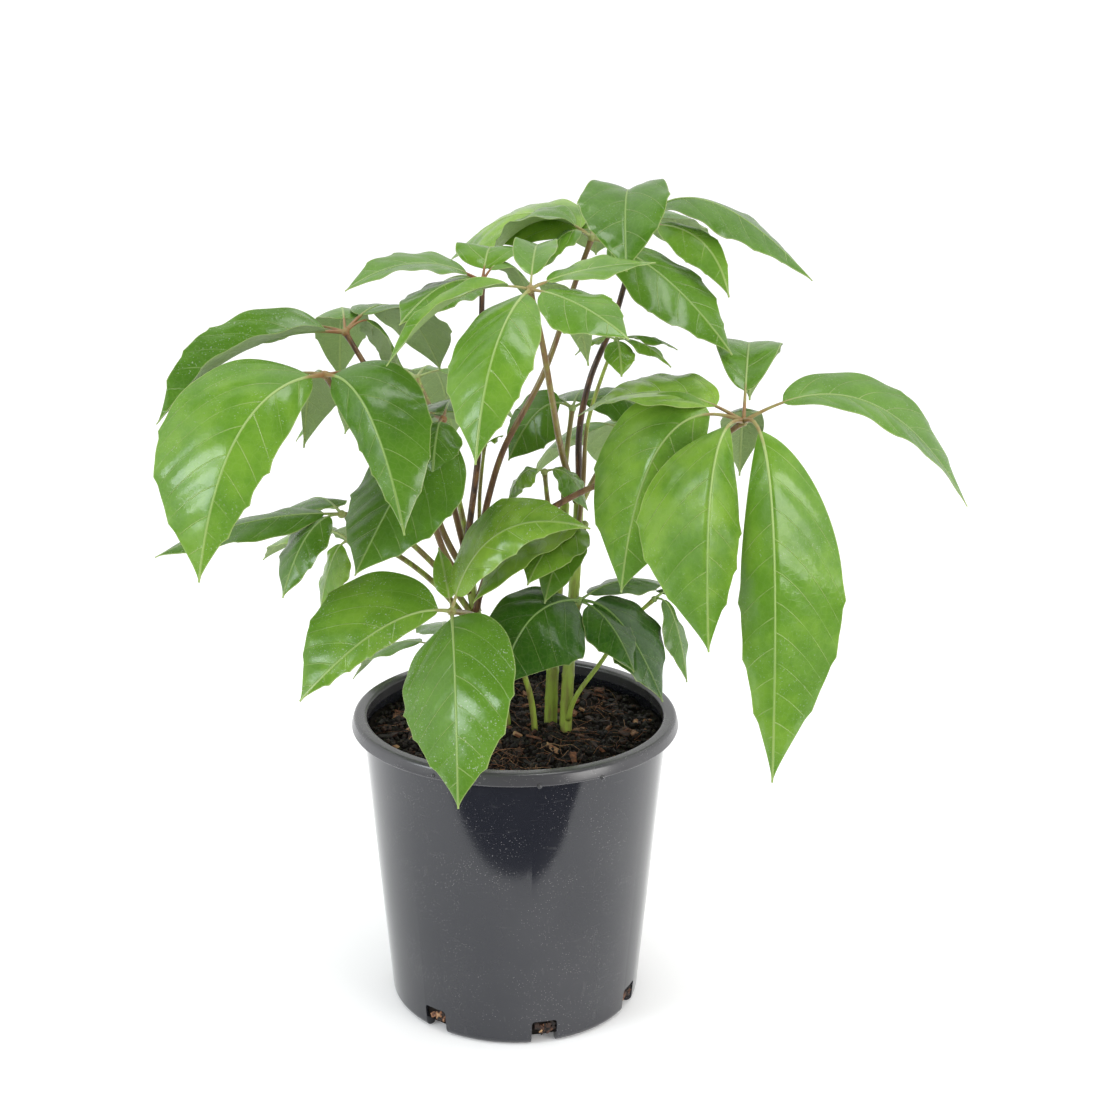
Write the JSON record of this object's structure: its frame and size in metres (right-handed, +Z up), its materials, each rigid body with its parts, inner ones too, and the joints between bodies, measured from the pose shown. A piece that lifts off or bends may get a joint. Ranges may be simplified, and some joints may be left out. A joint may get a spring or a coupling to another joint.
{
  "type": "potted amate umbrella tree",
  "caption": "Young umbrella tree (Schefflera, amate form) with long drooping hand-shaped leaves in a round black nursery pot filled with bark mix.",
  "frame": {"origin": "on the ground in the middle of the pot's standing ring, 3 mm under the middle of its base plate", "axes": "+Z up through the pot's rim, -Y towards the front of the plant as pictured, +X to its right"},
  "size_m": [0.4607, 0.3508, 0.508],
  "materials": {
    "pot": "satin",
    "mix": "matte",
    "stem": "satin",
    "petiole": "satin",
    "leaf": "satin"
  },
  "bodies": {
    "root": {"pot": "pot", "potting_mix": "mix", "stem_a": "stem", "stem_b": "stem", "stem_c": "stem", "petiole_right": "petiole", "leaf_right": "leaf", "petiole_left_high": "petiole", "leaf_left_high": "leaf", "petiole_left_low": "petiole", "leaf_left_low": "leaf", "petiole_front": "petiole", "leaf_front": "leaf", "petiole_centre_left": "petiole", "leaf_centre_left": "leaf", "petiole_top_left": "petiole", "leaf_top_left": "leaf", "petiole_top_right": "petiole", "leaf_top_right": "leaf", "petiole_new_shoot": "petiole", "leaf_new_shoot": "leaf", "petiole_small_top": "petiole", "leaf_small_top": "leaf", "petiole_inner": "petiole", "leaf_inner": "leaf", "petiole_round": "petiole", "leaf_round": "leaf", "petiole_low_front": "petiole", "leaf_low_front": "leaf", "petiole_low_right": "petiole", "leaf_low_right": "leaf", "petiole_middle_right": "petiole", "leaf_middle_right": "leaf", "petiole_left_long": "petiole", "leaf_left_long": "leaf", "petiole_centre_hanging": "petiole", "leaf_centre_hanging": "leaf", "petiole_left_inner": "petiole", "leaf_left_inner": "leaf", "petiole_low_back": "petiole", "leaf_low_back": "leaf", "petiole_low_thin": "petiole", "leaf_low_thin": "leaf", "petiole_back_right": "petiole", "leaf_back_right": "leaf", "petiole_back_left": "petiole", "leaf_back_left": "leaf"}
  },
  "joints": []
}
